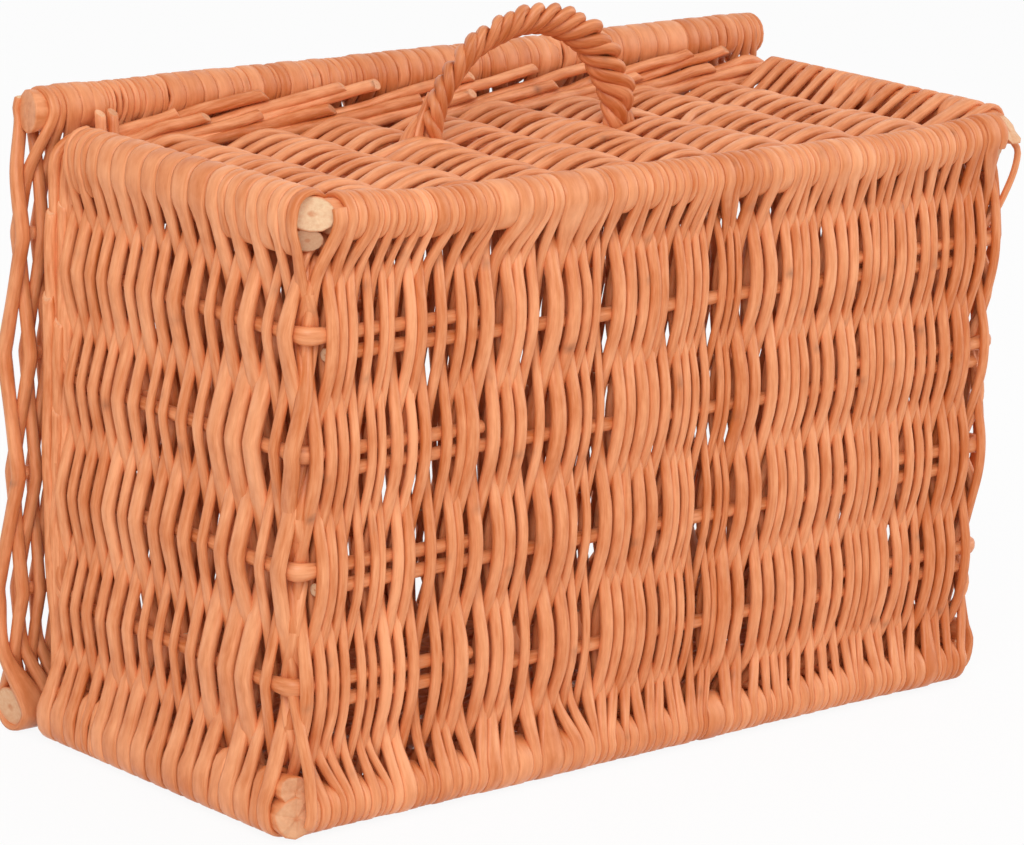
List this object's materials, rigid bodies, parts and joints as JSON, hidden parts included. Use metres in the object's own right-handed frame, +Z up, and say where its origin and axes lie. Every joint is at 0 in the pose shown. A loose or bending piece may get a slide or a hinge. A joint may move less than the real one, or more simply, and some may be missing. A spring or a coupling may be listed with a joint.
{
  "type": "lidded willow hamper",
  "caption": "Woven willow hamper with a hinged overhanging lid and a twisted willow handle on one long wall, standing on its hinge wall.",
  "frame": {"origin": "on the ground, under the middle of the box round the hamper as it stands on its hinge wall", "axes": "+X along the length, +Y from the base to the lid, +Z up from the hinge wall to the handle wall"},
  "size_m": [0.434, 0.1942, 0.3093],
  "materials": {
    "weavers": "buff peeled willow, smooth with a soft sheen",
    "sticks": "buff peeled willow, cut ends pale",
    "border_rods": "buff peeled willow, tips trimmed on the slant",
    "handle_rope": "twisted buff willow, creased along the twist",
    "hinge_loops": "split buff willow"
  },
  "bodies": {
    "basket": {"base_edge_stick_lower": "sticks", "base_edge_stick_upper": "sticks", "base_stick_1": "sticks", "base_stick_2": "sticks", "base_stick_3": "sticks", "base_stick_4": "sticks", "base_weave": "weavers", "corner_post_lower_left": "sticks", "corner_post_lower_right": "sticks", "corner_post_upper_left": "sticks", "corner_post_upper_right": "sticks", "end_stake_left_1": "sticks", "end_stake_left_2": "sticks", "end_stake_left_3": "sticks", "end_stake_left_4": "sticks", "end_stake_right_1": "sticks", "end_stake_right_2": "sticks", "end_stake_right_3": "sticks", "end_stake_right_4": "sticks", "handle": "handle_rope", "handle_wall_stake_1": "sticks", "handle_wall_stake_2": "sticks", "handle_wall_stake_3": "sticks", "handle_wall_stake_4": "sticks", "handle_wall_stake_5": "sticks", "handle_wall_stake_6": "sticks", "handle_wall_stake_7": "sticks", "handle_wall_stake_8": "sticks", "handle_wall_weave": "weavers", "hinge_loop_left": "hinge_loops", "hinge_loop_right": "hinge_loops", "hinge_wall_stake_1": "sticks", "hinge_wall_stake_2": "sticks", "hinge_wall_stake_3": "sticks", "hinge_wall_stake_4": "sticks", "hinge_wall_stake_5": "sticks", "hinge_wall_stake_6": "sticks", "hinge_wall_stake_7": "sticks", "hinge_wall_stake_8": "sticks", "hinge_wall_weave": "weavers", "left_end_weave": "weavers", "right_end_weave": "weavers", "rim_border_handle_side": "border_rods", "rim_border_hinge_side": "border_rods", "rim_border_left": "border_rods", "rim_border_right": "border_rods"},
    "lid": {"lid_front_stick": "sticks", "lid_hinge_stick": "sticks", "lid_stick_1": "sticks", "lid_stick_2": "sticks", "lid_stick_3": "sticks", "lid_stick_4": "sticks", "lid_weave": "weavers"}
  },
  "joints": [
    {"name": "lid_hinge", "type": "hinge", "parent": "basket", "child": "lid", "pos_m": [0, 0.08628, 0.01077], "axis": [-1, 0, 0], "range_deg": [0, 90]}
  ]
}
